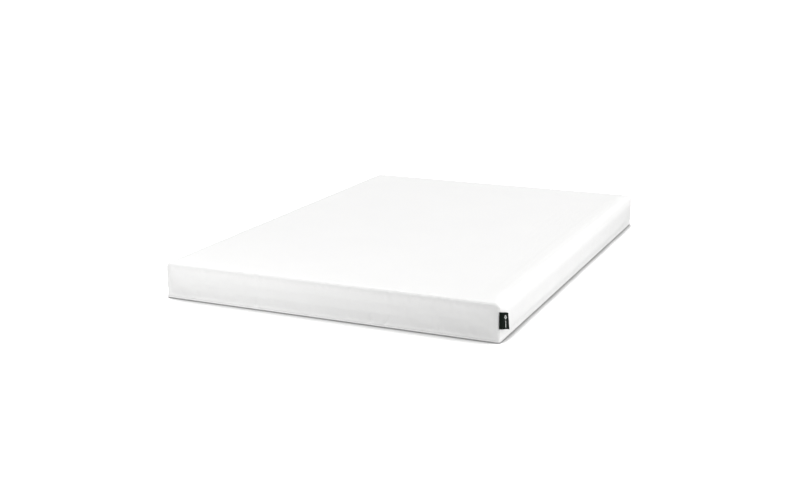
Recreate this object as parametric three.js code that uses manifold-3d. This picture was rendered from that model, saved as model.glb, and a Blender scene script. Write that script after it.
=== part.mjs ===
// Double memory foam mattress, 1400 x 2000 x 150 mm, in millimetres, +Z up.
// The origin is the middle of the base. +Y points to the head end and -Y to the foot end.
// A foam core of two layers sits in a fire sock, inside a knitted cover that closes with a zip
// low on the head end. The zip's slider runs along X, and its pull tab turns on the slider.
import * as THREE from "three";
import { mergeVertices } from "three/addons/utils/BufferGeometryUtils.js";
import Module from "manifold-3d";

const wasm = await Module();
wasm.setup();

// Overall size
const WIDTH = 1400;
const LENGTH = 2000;
const HEIGHT = 150;
const HALF_W = WIDTH / 2;
const HALF_L = LENGTH / 2;

// Roundings of the cover: along the long edges, and where it turns over the two ends
const TOP_EDGE_R = 24;
const BASE_EDGE_R = 11;
const END_R = 10;
const ARC_STEPS = 7;
const BEVEL_STEPS = 5;
const LEAST_R = 1;

// Layers, from the outside in. GAP is the clearance between neighbours.
const GAP = 0.3;
const COVER_T = 3;
const SOCK_INSET = COVER_T + 2 * GAP;
const SOCK_T = 1.2;
const CORE_INSET = SOCK_INSET + SOCK_T + 0.4;
const MEMORY_BASE_Z = 95.3;

// Seams. The end panels sit in windows of the wrap, each in a ring of overlock thread.
const SEAM_W = 2;
const WINDOW_INSET = 6;
const RING_INSET = WINDOW_INSET + GAP;
const PANEL_INSET = RING_INSET + SEAM_W + GAP;
const SEAM_PROUD = 0.5;
const SEAM_DEPTH = 2.3;
const BASE_SEAM_Z = 9;
const BASE_SEAM_W = 1.8;
const BASE_SEAM_LOW = BASE_SEAM_Z - BASE_SEAM_W / 2;
const BASE_SEAM_HIGH = BASE_SEAM_Z + BASE_SEAM_W / 2;

// Zip: the chain's centre height, the slot in the cloth, the tapes and the coils
const ZIP_Z = 26;
const SLOT_HALF_X = 654;
const SLOT_HALF_Z = 6;
const SPLIT_GAP = 0.8;
const TAPE_T = 0.8;
const TAPE_W = 15.4;
const TAPE_HALF_X = 664;
const SLIT_HALF = 0.6;
const COIL_W = 2.8;
const COIL_T = 2.2;
const COIL_HALF_X = 648.2;
const STOP_LENGTH = 3.4;
const STOP_GAP = 0.4;
const STITCH_W = 0.8;
const STITCH_T = 0.4;
const STITCH_FROM_SLOT = 3;
const TAPE_BACK_Y = HALF_L - COVER_T - GAP - TAPE_T;
const COIL_BACK_Y = TAPE_BACK_Y + TAPE_T + GAP;
const COIL_FRONT_Y = COIL_BACK_Y + COIL_T;

// Zip slider, parked at the closed end, which is towards -X. Its nose points to -X.
const SLIDER_LENGTH = 14;
const SLIDER_NOSE_W = 10.4;
const SLIDER_TAIL_W = 8.8;
const SLIDER_X = -637;
const SLIDER_TOP_T = 2;
const SLIDER_WING_T = 1;
const SLIDER_PLAY = 0.4;
const FLANGE_T = 0.9;
const DIVIDER_T = 0.6;
const DIVIDER_X = [-5, -1];
const CROWN_REACH = 3.6;
const CROWN_LEG = 1.6;
const CROWN_W = 1.8;
const CROWN_HEIGHT = 4;
const SLIDER_FACE_Y = COIL_FRONT_Y + SLIDER_PLAY + SLIDER_TOP_T;
const SOCK_HEAD_Y = TAPE_BACK_Y - 2 * SLIDER_PLAY - SLIDER_WING_T - 0.1;

// Pull tab, which turns about Z on the slider's crown and rests along +X
const PULL_AXIS_Y = SLIDER_FACE_Y + 1.3;
const PULL_BAR_R = 0.8;
const PULL_T = 1.2;
const PULL_W = 7.2;
const PULL_EYE_W = 3.4;
const PULL_ARM_LENGTH = 5.6;
const PULL_LENGTH = 26;
const PULL_HOLE_R = 1.4;

// Labels
const LABEL_Z = [55, 118];
const LABEL_LAYER = 0.6;
const LABEL_FOLD_GAP = 0.4;
const LABEL_REACH = 37;
const LABEL_LIFT = THREE.MathUtils.degToRad(15);
const CARE_LABEL = { x: [-688, -634], z: [48, 112], t: 0.8 };

// Fire sock: the mouth at the head end, and the thread that closes its flap
const MOUTH_INSET = 30;
const CLOSURE_HALF_X = 600;
const CLOSURE_HALF_Z = 1;

const MATERIALS = {
  knit: [0xf4f4f2, 0.92, 0],
  endKnit: [0xd9d9d6, 0.92, 0],
  base: [0xd2d3d3, 0.9, 0],
  thread: [0xe6e6e4, 0.8, 0],
  zipTape: [0xe2e2e0, 0.85, 0],
  zipCoil: [0xeeeeec, 0.45, 0],
  metal: [0xb9bcbf, 0.3, 1],
  labelBlack: [0x0d1210, 0.7, 0],
  labelWhite: [0xf2f2f0, 0.6, 0],
  sock: [0xece9df, 0.95, 0],
  memoryFoam: [0xf3efe0, 0.95, 0],
  supportFoam: [0xe9ecee, 0.95, 0],
};
const materials = Object.fromEntries(
  Object.entries(MATERIALS).map(([name, [color, roughness, metalness]]) => [
    name,
    new THREE.MeshStandardMaterial({ name, color, roughness, metalness }),
  ]),
);

const mattress = new THREE.Group();

// A closed geometry as a manifold-3d solid.
function solid(geometry) {
  const bare = geometry.clone();
  bare.deleteAttribute("normal");
  bare.deleteAttribute("uv");
  const merged = mergeVertices(bare, 1e-4);
  return new wasm.Manifold(
    new wasm.Mesh({
      numProp: 3,
      vertProperties: merged.attributes.position.array,
      triVerts: new Uint32Array(merged.index.array),
    }),
  );
}

// A manifold-3d solid as a geometry again.
function geometryOf(made) {
  const { vertProperties, triVerts, numProp } = made.getMesh();
  const geometry = new THREE.BufferGeometry()
    .setAttribute("position", new THREE.BufferAttribute(vertProperties, numProp))
    .setIndex(new THREE.BufferAttribute(triVerts, 1));
  geometry.computeVertexNormals();
  return geometry;
}

// Adds one named piece. Its shape is a geometry or a manifold-3d solid.
function addPiece(name, shape, material) {
  const geometry = shape.isBufferGeometry ? shape : geometryOf(shape);
  const mesh = new THREE.Mesh(geometry, materials[material]);
  mesh.name = name;
  mattress.add(mesh);
}

// A box from its lowest and highest coordinate on each axis.
function block([x0, x1], [y0, y1], [z0, z1]) {
  const geometry = new THREE.BoxGeometry(x1 - x0, y1 - y0, z1 - z0);
  return geometry.translate((x0 + x1) / 2, (y0 + y1) / 2, (z0 + z1) / 2);
}

// The mattress's cross-section, seen along Y, drawn inwards by an inset: x across and y up.
// Its low edge can be at a height of its own.
function section(inset, low) {
  const right = HALF_W - inset;
  const high = HEIGHT - inset;
  const top = Math.max(TOP_EDGE_R - inset, LEAST_R);
  const base = Math.max(BASE_EDGE_R - inset, LEAST_R);
  const quarter = Math.PI / 2;
  const shape = new THREE.Shape();
  shape.moveTo(-right + base, low);
  shape.absarc(right - base, low + base, base, -quarter, 0, false);
  shape.absarc(right - top, high - top, top, 0, quarter, false);
  shape.absarc(-right + top, high - top, top, quarter, 2 * quarter, false);
  shape.absarc(-right + base, low + base, base, 2 * quarter, 3 * quarter, false);
  return shape;
}

// The section drawn along Y from y0 to y1, with its two ends rounded over.
function bar(inset, y0, y1, endR = 0, low = inset) {
  const geometry = new THREE.ExtrudeGeometry(section(inset, low), {
    depth: y1 - y0 - 2 * endR,
    curveSegments: ARC_STEPS,
    bevelEnabled: endR > 0,
    bevelThickness: endR,
    bevelSize: endR,
    bevelOffset: -endR,
    bevelSegments: BEVEL_STEPS,
  });
  return geometry.rotateX(Math.PI / 2).translate(0, y1 - endR, 0);
}

// A shape drawn in x and y, given a thickness along Z from z0 to z1.
function prism(shape, z0, z1) {
  const geometry = new THREE.ExtrudeGeometry(shape, {
    depth: z1 - z0,
    curveSegments: ARC_STEPS,
    bevelEnabled: false,
  });
  return geometry.translate(0, 0, z0);
}

// A shape drawn in x and z, given a thickness along Y from y0 to y1.
function plate(shape, y0, y1) {
  return prism(shape, 0, y1 - y0).rotateX(Math.PI / 2).translate(0, y1, 0);
}

// Everything above or below a height, as a solid to cut with.
function above(z) {
  return solid(block([-WIDTH, WIDTH], [-LENGTH, LENGTH], [z, 2 * HEIGHT]));
}

function below(z) {
  return solid(block([-WIDTH, WIDTH], [-LENGTH, LENGTH], [-HEIGHT, z]));
}

const zipSlot = solid(
  block(
    [-SLOT_HALF_X, SLOT_HALF_X],
    [HALF_L - 2 * COVER_T, HALF_L + COVER_T],
    [ZIP_Z - SLOT_HALF_Z, ZIP_Z + SLOT_HALF_Z],
  ),
);

// The cover's outer skin, before it is parted into the wrap and the base.
function coverShell() {
  const outer = solid(bar(0, -HALF_L, HALF_L, END_R));
  const inside = COVER_T - HALF_L;
  return outer.subtract(solid(bar(COVER_T, inside, -inside, END_R - COVER_T)));
}

// One end's window, a plug that reaches past the end face and its rounding.
function endWindow(side) {
  const y = [side * (HALF_L - END_R), side * (HALF_L + END_R)].sort((a, b) => a - b);
  return solid(bar(WINDOW_INSET, ...y));
}

// The cover's four cloth panels: one wrap over the top and both sides, two ends and the base.
function addCover() {
  const shell = coverShell();
  const wrapFrom = BASE_SEAM_HIGH + GAP;
  const wrap = shell.intersect(above(wrapFrom)).subtract(endWindow(-1)).subtract(endWindow(1));
  addPiece("top_wrap_panel", wrap, "knit");

  const footPanel = bar(PANEL_INSET, -HALF_L, COVER_T - HALF_L, 0, wrapFrom);
  addPiece("foot_end_panel", footPanel, "endKnit");
  const headPanel = solid(bar(PANEL_INSET, HALF_L - COVER_T, HALF_L))
    .intersect(above(ZIP_Z + SPLIT_GAP / 2))
    .subtract(zipSlot);
  addPiece("head_end_panel", headPanel, "endKnit");

  const upstand = solid(bar(RING_INSET, HALF_L - COVER_T, HALF_L))
    .intersect(below(ZIP_Z - SPLIT_GAP / 2));
  const base = shell.intersect(below(BASE_SEAM_LOW - GAP)).add(upstand);
  addPiece("base_panel", base.subtract(zipSlot), "base");
}

// Overlock thread round each end panel, and along the base's two long edges.
function addSeams() {
  const proud = HALF_L + SEAM_PROUD;
  const ring = (y0, y1) =>
    solid(bar(RING_INSET, y0, y1, 0, BASE_SEAM_LOW)).subtract(
      solid(bar(RING_INSET + SEAM_W, y0 - 1, y1 + 1, 0, BASE_SEAM_HIGH)),
    );
  addPiece("foot_seam_thread", ring(-proud, SEAM_DEPTH - proud), "thread");
  const headRing = ring(proud - SEAM_DEPTH, proud);
  addPiece("head_seam_thread", headRing.intersect(above(ZIP_Z + 1.5)), "thread");

  const z = [BASE_SEAM_LOW, BASE_SEAM_HIGH];
  const y = [END_R - HALF_L, HALF_L - END_R];
  for (const [name, side] of [["left", -1], ["right", 1]]) {
    const x = [side * (HALF_W - COVER_T / 2), side * (HALF_W + SEAM_PROUD)];
    x.sort((a, b) => a - b);
    addPiece(`base_seam_thread_${name}`, block(x, y, z), "thread");
  }
}

// The folded side label comes out of the foot seam at +X, turns the corner and stands a little
// off the side. Its two layers are drawn in plan as one strip, folded back on itself.
function addSideLabel() {
  const seamX = HALF_W - RING_INSET - SEAM_W / 2;
  const startY = -HALF_L - SEAM_PROUD - GAP;
  const thick = 2 * LABEL_LAYER + LABEL_FOLD_GAP;
  const bend = END_R + SEAM_PROUD + GAP;
  const centre = new THREE.Vector2(seamX, startY + bend);
  const direction = new THREE.Vector2(Math.sin(LABEL_LIFT), Math.cos(LABEL_LIFT));
  const steps = 8;
  const turn = Math.PI / 2 - LABEL_LIFT;
  const line = (offset, reach) => {
    const points = [];
    for (let i = 0; i <= steps; i++) {
      const angle = -Math.PI / 2 + (turn * i) / steps;
      points.push(
        new THREE.Vector2(Math.cos(angle), Math.sin(angle))
          .multiplyScalar(bend + offset)
          .add(centre),
      );
    }
    points.push(points[steps].clone().addScaledVector(direction, reach));
    return points;
  };
  const outer = line(thick, LABEL_REACH);
  const inner = line(0, LABEL_REACH);
  const slotOuter = line(thick - LABEL_LAYER, LABEL_REACH - LABEL_LAYER);
  const slotInner = line(LABEL_LAYER, LABEL_REACH - LABEL_LAYER);
  const outline = [...outer, ...inner.reverse(), ...slotInner, ...slotOuter.reverse()];
  addPiece("side_label", prism(new THREE.Shape(outline), ...LABEL_Z), "labelBlack");
}

// The plain care label lies flat on the head panel, by its seam at -X.
function addCareLabel() {
  const y = [HALF_L + SEAM_PROUD + GAP, HALF_L + SEAM_PROUD + GAP + CARE_LABEL.t];
  addPiece("care_label", block(CARE_LABEL.x, y, CARE_LABEL.z), "labelWhite");
}

// One coil row's D-shaped profile, in y and z, seen along X. side is 1 above the slit, -1 below.
function coil(side) {
  const low = ZIP_Z + side * SLIT_HALF;
  const shape = new THREE.Shape();
  shape.moveTo(COIL_BACK_Y, low);
  shape.lineTo(COIL_BACK_Y, low + side * COIL_W);
  shape.quadraticCurveTo(COIL_FRONT_Y, low + side * COIL_W, COIL_FRONT_Y, low + side * (COIL_W / 2));
  shape.quadraticCurveTo(COIL_FRONT_Y, low, COIL_BACK_Y, low);
  const geometry = prism(shape, -COIL_HALF_X, COIL_HALF_X);
  return geometry.applyMatrix4(new THREE.Matrix4().makeBasis(
    new THREE.Vector3(0, 1, 0),
    new THREE.Vector3(0, 0, 1),
    new THREE.Vector3(1, 0, 0),
  ));
}

// Tapes, coils, the two stitch lines and the stops. The chain is closed, with a slit for the
// slider's divider.
function addZipTrack() {
  const rows = { upper: 1, lower: -1 };
  const stopX = COIL_HALF_X + STOP_GAP;
  const stopY = [COIL_BACK_Y, COIL_FRONT_Y + GAP];
  const span = (side, from, to) => [ZIP_Z + side * from, ZIP_Z + side * to].sort((a, b) => a - b);
  for (const [row, side] of Object.entries(rows)) {
    const tapeY = [TAPE_BACK_Y, TAPE_BACK_Y + TAPE_T];
    const tapeX = [-TAPE_HALF_X, TAPE_HALF_X];
    addPiece(`zip_tape_${row}`, block(tapeX, tapeY, span(side, SLIT_HALF, TAPE_W)), "zipTape");
    addPiece(`zip_coil_${row}`, coil(side), "zipCoil");

    const stitchX = [-SLOT_HALF_X, SLOT_HALF_X];
    const stitchY = [HALF_L + 0.1, HALF_L + 0.1 + STITCH_T];
    const from = SLOT_HALF_Z + STITCH_FROM_SLOT;
    const stitch = block(stitchX, stitchY, span(side, from, from + STITCH_W));
    addPiece(`zip_stitch_${row}`, stitch, "thread");

    const stop = block([-stopX - STOP_LENGTH, -stopX], stopY, span(side, SLIT_HALF, SLIT_HALF + COIL_W));
    addPiece(`zip_top_stop_${row}`, stop, "metal");
  }
  const reach = SLIT_HALF + COIL_W;
  const x = [stopX, stopX + STOP_LENGTH];
  const web = [TAPE_BACK_Y - GAP - 0.6, COIL_BACK_Y + 0.5];
  const backY = [web[0], TAPE_BACK_Y - GAP];
  const bottomStop = solid(block(x, stopY, span(1, -reach, reach)))
    .add(solid(block(x, web, span(1, -DIVIDER_T / 2, DIVIDER_T / 2))))
    .add(solid(block(x, backY, span(1, -reach, reach))));
  addPiece("zip_bottom_stop", bottomStop, "metal");
}

// The slider's outline, seen along Y: wide at the nose and narrower at the tail.
function sliderOutline(trim = 0) {
  const nose = -SLIDER_LENGTH / 2 + trim;
  const tail = SLIDER_LENGTH / 2 - trim;
  const wide = SLIDER_NOSE_W / 2 - trim;
  const narrow = SLIDER_TAIL_W / 2 - trim;
  const shape = new THREE.Shape();
  shape.moveTo(nose + 2, -wide);
  shape.quadraticCurveTo(0, -wide, tail - 1.5, -narrow);
  shape.quadraticCurveTo(tail, -narrow, tail, -narrow + 1.5);
  shape.lineTo(tail, narrow - 1.5);
  shape.quadraticCurveTo(tail, narrow, tail - 1.5, narrow);
  shape.quadraticCurveTo(0, wide, nose + 2, wide);
  shape.quadraticCurveTo(nose, wide, nose, wide - 2);
  shape.lineTo(nose, -wide + 2);
  shape.quadraticCurveTo(nose, -wide, nose + 2, -wide);
  return shape;
}

// Slider: a top plate with side flanges, a wing behind the tapes, the divider that joins them,
// and the crown that holds the pull tab. It is made about its own centre and then put in place.
function addSlider() {
  const plateBack = COIL_FRONT_Y + SLIDER_PLAY;
  const flangeBack = COIL_BACK_Y + GAP;
  const wingFront = TAPE_BACK_Y - SLIDER_PLAY;
  const channel = SLIT_HALF + COIL_W + SLIDER_PLAY;
  const half = SLIDER_LENGTH / 2;

  const hood = solid(plate(sliderOutline(), flangeBack, SLIDER_FACE_Y));
  const hollow = solid(
    block([-half - 1, half + 1], [flangeBack - 1, plateBack], [-channel, channel]),
  );
  const wing = solid(plate(sliderOutline(FLANGE_T), wingFront - SLIDER_WING_T, wingFront));
  const divider = solid(
    block(DIVIDER_X, [wingFront - 0.2, plateBack + 0.2], [-DIVIDER_T / 2, DIVIDER_T / 2]),
  );
  const crownY = [SLIDER_FACE_Y - 0.2, SLIDER_FACE_Y + CROWN_HEIGHT];
  const crownZ = [-CROWN_W / 2, CROWN_W / 2];
  const crown = solid(block([-CROWN_REACH, CROWN_REACH], crownY, crownZ)).subtract(
    solid(
      block(
        [CROWN_LEG - CROWN_REACH, CROWN_REACH - CROWN_LEG],
        [SLIDER_FACE_Y - 1, PULL_AXIS_Y + PULL_BAR_R + 0.5],
        [-CROWN_W, CROWN_W],
      ),
    ),
  );
  const slider = hood.subtract(hollow).add(wing).add(divider).add(crown);
  addPiece("zip_slider", slider.translate([SLIDER_X, 0, ZIP_Z]), "metal");
}

// Pull tab: a round bar under the crown, two arms beside it, and a flat grip with a small hole.
function addPullTab() {
  const half = PULL_W / 2;
  const grip = new THREE.Shape();
  grip.moveTo(0, -half);
  grip.lineTo(PULL_LENGTH - half, -half);
  grip.absarc(PULL_LENGTH - half, 0, half, -Math.PI / 2, Math.PI / 2, false);
  grip.lineTo(0, half);
  grip.lineTo(0, PULL_EYE_W / 2);
  grip.lineTo(PULL_ARM_LENGTH, PULL_EYE_W / 2);
  grip.lineTo(PULL_ARM_LENGTH, -PULL_EYE_W / 2);
  grip.lineTo(0, -PULL_EYE_W / 2);
  grip.closePath();
  const hole = new THREE.Path();
  hole.absarc(PULL_LENGTH - half, 0, PULL_HOLE_R, 0, 2 * Math.PI, true);
  grip.holes.push(hole);
  const flat = solid(plate(grip, PULL_AXIS_Y - PULL_T / 2, PULL_AXIS_Y + PULL_T / 2));
  const pin = new THREE.CylinderGeometry(PULL_BAR_R, PULL_BAR_R, PULL_W, 16);
  pin.rotateX(Math.PI / 2).translate(0, PULL_AXIS_Y, 0);
  addPiece("zip_pull_tab", flat.add(solid(pin)).translate([SLIDER_X, 0, ZIP_Z]), "metal");
}

// The foam core's two glued layers, and the knitted fire sock that is drawn over them from the
// head end and closed by a flap and one line of thread.
function addInside() {
  const coreFoot = CORE_INSET - HALF_L;
  const coreHead = SOCK_HEAD_Y - SOCK_T - 0.4;
  const core = solid(bar(CORE_INSET, coreFoot, coreHead, END_R - CORE_INSET));
  addPiece("memory_foam_layer", core.intersect(above(MEMORY_BASE_Z)), "memoryFoam");
  addPiece("support_foam_layer", core.intersect(below(MEMORY_BASE_Z - GAP)), "supportFoam");

  const sockFoot = SOCK_INSET - HALF_L;
  const outside = solid(bar(SOCK_INSET, sockFoot, SOCK_HEAD_Y, END_R - SOCK_INSET));
  const inset = SOCK_INSET + SOCK_T;
  const inside = solid(bar(inset, sockFoot + SOCK_T, SOCK_HEAD_Y - SOCK_T, END_R - inset));
  const mouth = solid(bar(MOUTH_INSET, SOCK_HEAD_Y - 2 * SOCK_T, SOCK_HEAD_Y + SOCK_T));
  addPiece("fire_sock", outside.subtract(inside).subtract(mouth), "sock");

  const flap = bar(MOUTH_INSET + GAP, SOCK_HEAD_Y - SOCK_T, SOCK_HEAD_Y);
  addPiece("fire_sock_end_flap", flap, "sock");
  const middle = HEIGHT / 2;
  const thread = block(
    [-CLOSURE_HALF_X, CLOSURE_HALF_X],
    [SOCK_HEAD_Y + GAP / 2, SOCK_HEAD_Y + 1],
    [middle - CLOSURE_HALF_Z, middle + CLOSURE_HALF_Z],
  );
  addPiece("fire_sock_closure_thread", thread, "thread");
}

addCover();
addSeams();
addSideLabel();
addCareLabel();
addZipTrack();
addSlider();
addPullTab();
addInside();

export default mattress;
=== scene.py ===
import math

import bpy
import numpy as np
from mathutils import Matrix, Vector, kdtree


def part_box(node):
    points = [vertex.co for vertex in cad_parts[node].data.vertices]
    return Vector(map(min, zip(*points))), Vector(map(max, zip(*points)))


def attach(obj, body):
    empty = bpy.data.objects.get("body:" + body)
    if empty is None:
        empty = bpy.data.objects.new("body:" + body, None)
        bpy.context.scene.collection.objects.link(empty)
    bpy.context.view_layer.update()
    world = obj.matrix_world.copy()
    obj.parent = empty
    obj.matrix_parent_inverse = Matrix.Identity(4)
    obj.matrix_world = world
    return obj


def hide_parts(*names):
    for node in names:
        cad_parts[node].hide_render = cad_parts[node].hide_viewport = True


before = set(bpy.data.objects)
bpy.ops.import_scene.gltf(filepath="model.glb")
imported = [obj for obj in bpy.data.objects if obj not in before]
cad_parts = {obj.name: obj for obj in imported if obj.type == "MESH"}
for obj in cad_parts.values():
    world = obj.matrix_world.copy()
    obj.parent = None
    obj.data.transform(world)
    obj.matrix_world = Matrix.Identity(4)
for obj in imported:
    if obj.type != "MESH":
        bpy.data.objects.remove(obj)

MM = 0.001
scene = bpy.context.scene
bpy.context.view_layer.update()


def corners(node):
    """The lowest and highest corners of a CAD node, as arrays."""
    return [np.array(corner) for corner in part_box(node)]


# Driving sizes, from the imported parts
WRAP_HIGH = corners("top_wrap_panel")[1]
FOOT_LOW, FOOT_HIGH = corners("foot_end_panel")
RING_HIGH = corners("foot_seam_thread")[1]
HALF_W = WRAP_HIGH[0]
HALF_L = -FOOT_LOW[1]
HEIGHT = WRAP_HIGH[2]
SEAM_Z = (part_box("base_seam_thread_left")[0][2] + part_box("base_seam_thread_left")[1][2]) / 2
SEAM_DRAWN = 0.55  # the stretched cover draws its end seams out toward the edges
SEAM_INSET = SEAM_DRAWN * (HALF_W - (RING_HIGH[0] + FOOT_HIGH[0]) / 2)
ZIP_Z = (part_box("zip_coil_lower")[0][2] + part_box("zip_coil_upper")[1][2]) / 2
SLOT_HALF_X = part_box("zip_stitch_upper")[1][0]
SLOT_LOW = ZIP_Z - 6 * MM
SLOT_HIGH = ZIP_Z + 6 * MM

# Roundings and cloth
TOP_R = 24 * MM
BASE_R = 7 * MM
END_R = 10 * MM
CLOTH_T = 2.4 * MM
SEAM_HALF = 0.15 * MM


# ---- shapes in numbers

def graded(length, fine, coarse, ratio=1.35):
    """Positions from 0 to length, close together at both ends and up to coarse in between."""
    steps = [fine]
    while steps[-1] * ratio < coarse:
        steps.append(steps[-1] * ratio)
    ends = np.cumsum(steps)
    count = max(1, round((length - 2 * ends[-1]) / coarse))
    middle = np.linspace(ends[-1], length - ends[-1], count + 1)
    return np.concatenate([[0], ends[:-1], middle, length - ends[:-1][::-1], [length]])


def ripple(u, waves, seed):
    """A smooth irregular wave of about unit height along u, from a few wavelengths."""
    draw = np.random.default_rng(seed)
    total = np.zeros_like(u)
    for wave in waves:
        total += np.sin(2 * math.pi * u / wave + draw.uniform(0, 2 * math.pi))
    return total / math.sqrt(len(waves))


def fade(d, reach):
    """1 at distance 0, falling smoothly to nothing over a few reaches."""
    return np.exp(-((d / reach) ** 2))


def ramp(x, start, end):
    """0 before start, 1 after end, and smooth between them."""
    t = np.clip((x - start) / (end - start), 0, 1)
    return t * t * (3 - 2 * t)


SECTION_SIDE = HEIGHT - TOP_R - SEAM_Z
SECTION_ARC = TOP_R * math.pi / 2
SECTION_LENGTH = 2 * (SECTION_SIDE + SECTION_ARC + HALF_W - TOP_R)
END_ANGLE = math.asin(1 - SEAM_INSET / END_R)
END_ARC = END_R * (math.pi / 2 - END_ANGLE)
WRAP_LENGTH = 2 * (END_ARC + HALF_L - END_R)


def section_at(s):
    """x, z and the outward normal of the cross-section, at lengths s from the left base seam."""
    m = np.minimum(s, SECTION_LENGTH - s)
    way = np.where(s < SECTION_LENGTH / 2, -1.0, 1.0)
    angle = np.clip((m - SECTION_SIDE) / TOP_R, 0, math.pi / 2)
    across = TOP_R * (1 - np.cos(angle)) + np.maximum(0, m - SECTION_SIDE - SECTION_ARC)
    z = SEAM_Z + np.minimum(m, SECTION_SIDE) + TOP_R * np.sin(angle)
    return way * (HALF_W - across), z, way * np.cos(angle), np.sin(angle)


def wrap_surface(s, t):
    """Points and normals of the wrap, at s across and t along from the foot seam."""
    x, z, nx, nz = section_at(s)
    m = np.minimum(t, WRAP_LENGTH - t)
    way = np.where(t < WRAP_LENGTH / 2, -1.0, 1.0)
    angle = np.minimum(END_ANGLE + m / END_R, math.pi / 2)
    inset = END_R * (1 - np.sin(angle))
    back = END_R * (1 - np.cos(angle)) + np.maximum(0, m - END_ARC)
    points = np.stack([x - inset * nx, way * (HALF_L - back), z - inset * nz], -1)
    normals = np.stack([nx * np.sin(angle), way * np.cos(angle), nz * np.sin(angle)], -1)
    return points, normals


def end_surface(x, v, low, side):
    """Points and normals of an end panel, at x across and v from 0, its low edge, to 1, its top."""
    half = HALF_W - SEAM_INSET
    radius = TOP_R - SEAM_INSET
    over = np.clip(np.abs(x) - (half - radius), 0, radius)
    top = HEIGHT - SEAM_INSET - radius + np.sqrt(radius ** 2 - over ** 2)
    z = low + v * (top - low)
    y = np.full_like(x, side * HALF_L)
    return np.stack([x, y, z], -1), np.tile([0.0, side, 0.0], x.shape + (1,))


def grid(down, across):
    """Every pair of two lists of numbers, as two grids."""
    return np.meshgrid(down, across, indexing="ij")


def xyz(x, y, z):
    return np.stack([x, y, z], -1)


def unit(vectors):
    """Vectors of the same directions and of length 1."""
    return vectors / np.maximum(np.linalg.norm(vectors, axis=-1, keepdims=True), 1e-9)


def numbered(rows, cols):
    return np.arange(rows * cols).reshape(rows, cols)


def quads_of(i):
    """The quads between the points of a numbered grid."""
    return np.stack([i[:-1, :-1], i[:-1, 1:], i[1:, 1:], i[1:, :-1]], -1).reshape(-1, 4)


def grid_faces(rows, cols, flip=False):
    quads = quads_of(numbered(rows, cols))
    return quads[:, ::-1] if flip else quads


# ---- objects

def linked(name, data):
    """A new object in the scene."""
    made = bpy.data.objects.new(name, data)
    scene.collection.objects.link(made)
    return made


def new_object(name, points, faces, cloth=None):
    """A mesh object from arrays of points and faces. cloth holds lengths along the cloth."""
    mesh = bpy.data.meshes.new(name)
    mesh.from_pydata(np.asarray(points).tolist(), [], [list(map(int, f)) for f in faces])
    if cloth is not None:
        layer = mesh.attributes.new("cloth", "FLOAT_VECTOR", "POINT")
        layer.data.foreach_set("vector", np.asarray(cloth, float).ravel())
    mesh.polygons.foreach_set("use_smooth", [True] * len(mesh.polygons))
    mesh.update()
    return linked(name, mesh)


def border(numbers):
    """The numbers round the edge of a grid, in order."""
    sides = [numbers[0, :-1], numbers[:-1, -1], numbers[-1, :0:-1], numbers[:0:-1, 0]]
    return np.concatenate(sides).tolist()


def shell(name, outer, inner, cloth, skip=1):
    """A closed sheet between an outer and an inner grid of points. The inner one, which doesn't
    show, keeps only every so many rows and columns."""
    rows, cols = outer.shape[:2]
    row = np.unique(np.append(np.arange(0, rows - 1, skip), rows - 1))
    col = np.unique(np.append(np.arange(0, cols - 1, skip), cols - 1))
    i = numbered(rows, cols)
    j = np.full((rows, cols), -1)
    j[np.ix_(row, col)] = rows * cols + numbered(len(row), len(col))
    faces = grid_faces(rows, cols).tolist()
    faces += (grid_faces(len(row), len(col), flip=True) + rows * cols).tolist()
    outside, inside = border(i), border(j)
    kept = [k for k, number in enumerate(inside) if number >= 0]
    for start, end in zip(kept, kept[1:] + [len(inside)]):
        run = [outside[k % len(outside)] for k in range(start, end + 1)]
        faces.append(run[::-1] + [inside[start], inside[end % len(inside)]])
    points = np.concatenate([outer.reshape(-1, 3), inner[np.ix_(row, col)].reshape(-1, 3)])
    flat = np.concatenate([cloth.reshape(-1, 3), cloth[np.ix_(row, col)].reshape(-1, 3)])
    return new_object(name, points, faces, cloth=flat)


def tube(path, radius, sides=5):
    """Points and faces of a tube along a path of points, with flat ends."""
    ahead = np.roll(path, -1, 0) - np.roll(path, 1, 0)
    ahead[0] = path[1] - path[0]
    ahead[-1] = path[-1] - path[-2]
    ahead = unit(ahead)
    first = unit(np.cross(ahead, np.eye(3)[np.abs(ahead).max(0).argmin()]))
    second = np.cross(ahead, first)
    angles = 2 * math.pi * np.arange(sides) / sides
    rings = (
        path[:, None]
        + radius * np.cos(angles)[None, :, None] * first[:, None]
        + radius * np.sin(angles)[None, :, None] * second[:, None]
    )
    i = numbered(len(path), sides)
    quads = quads_of(np.append(i, i[:, :1], 1)).tolist()
    return rings.reshape(-1, 3), quads + [i[0, ::-1].tolist(), i[-1].tolist()]


def joined(parts):
    """Several lists of points and faces as one."""
    points, faces, start = [], [], 0
    for p, f in parts:
        points.append(p)
        faces += [[k + start for k in face] for face in f]
        start += len(p)
    return np.concatenate(points), faces


def thickened(name, points, quads, normals, thickness, cloth):
    """A closed sheet from an open or closed surface, as thick as given, on its inner side."""
    count = len(points)
    sides = np.concatenate([quads[:, [k, (k + 1) % 4]] for k in range(4)]).tolist()
    taken = {tuple(e) for e in sides}
    rim = np.array([e for e in sides if (e[1], e[0]) not in taken])
    rim_quads = np.stack([rim[:, 1], rim[:, 0], rim[:, 0] + count, rim[:, 1] + count], -1)
    faces = np.concatenate([quads, quads[:, ::-1] + count, rim_quads])
    inner = points - normals * np.broadcast_to(thickness, (count,))[:, None]
    cloth = np.concatenate([cloth, cloth])
    return new_object(name, np.concatenate([points, inner]), faces, cloth)


def straight(x, y, z, side=1.0):
    """A straight path on an end of the cover, from arrays or single numbers, and its normals."""
    path = np.stack(np.broadcast_arrays(x, y, z), -1)
    return path, np.tile([0.0, side, 0.0], (len(path), 1))


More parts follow.
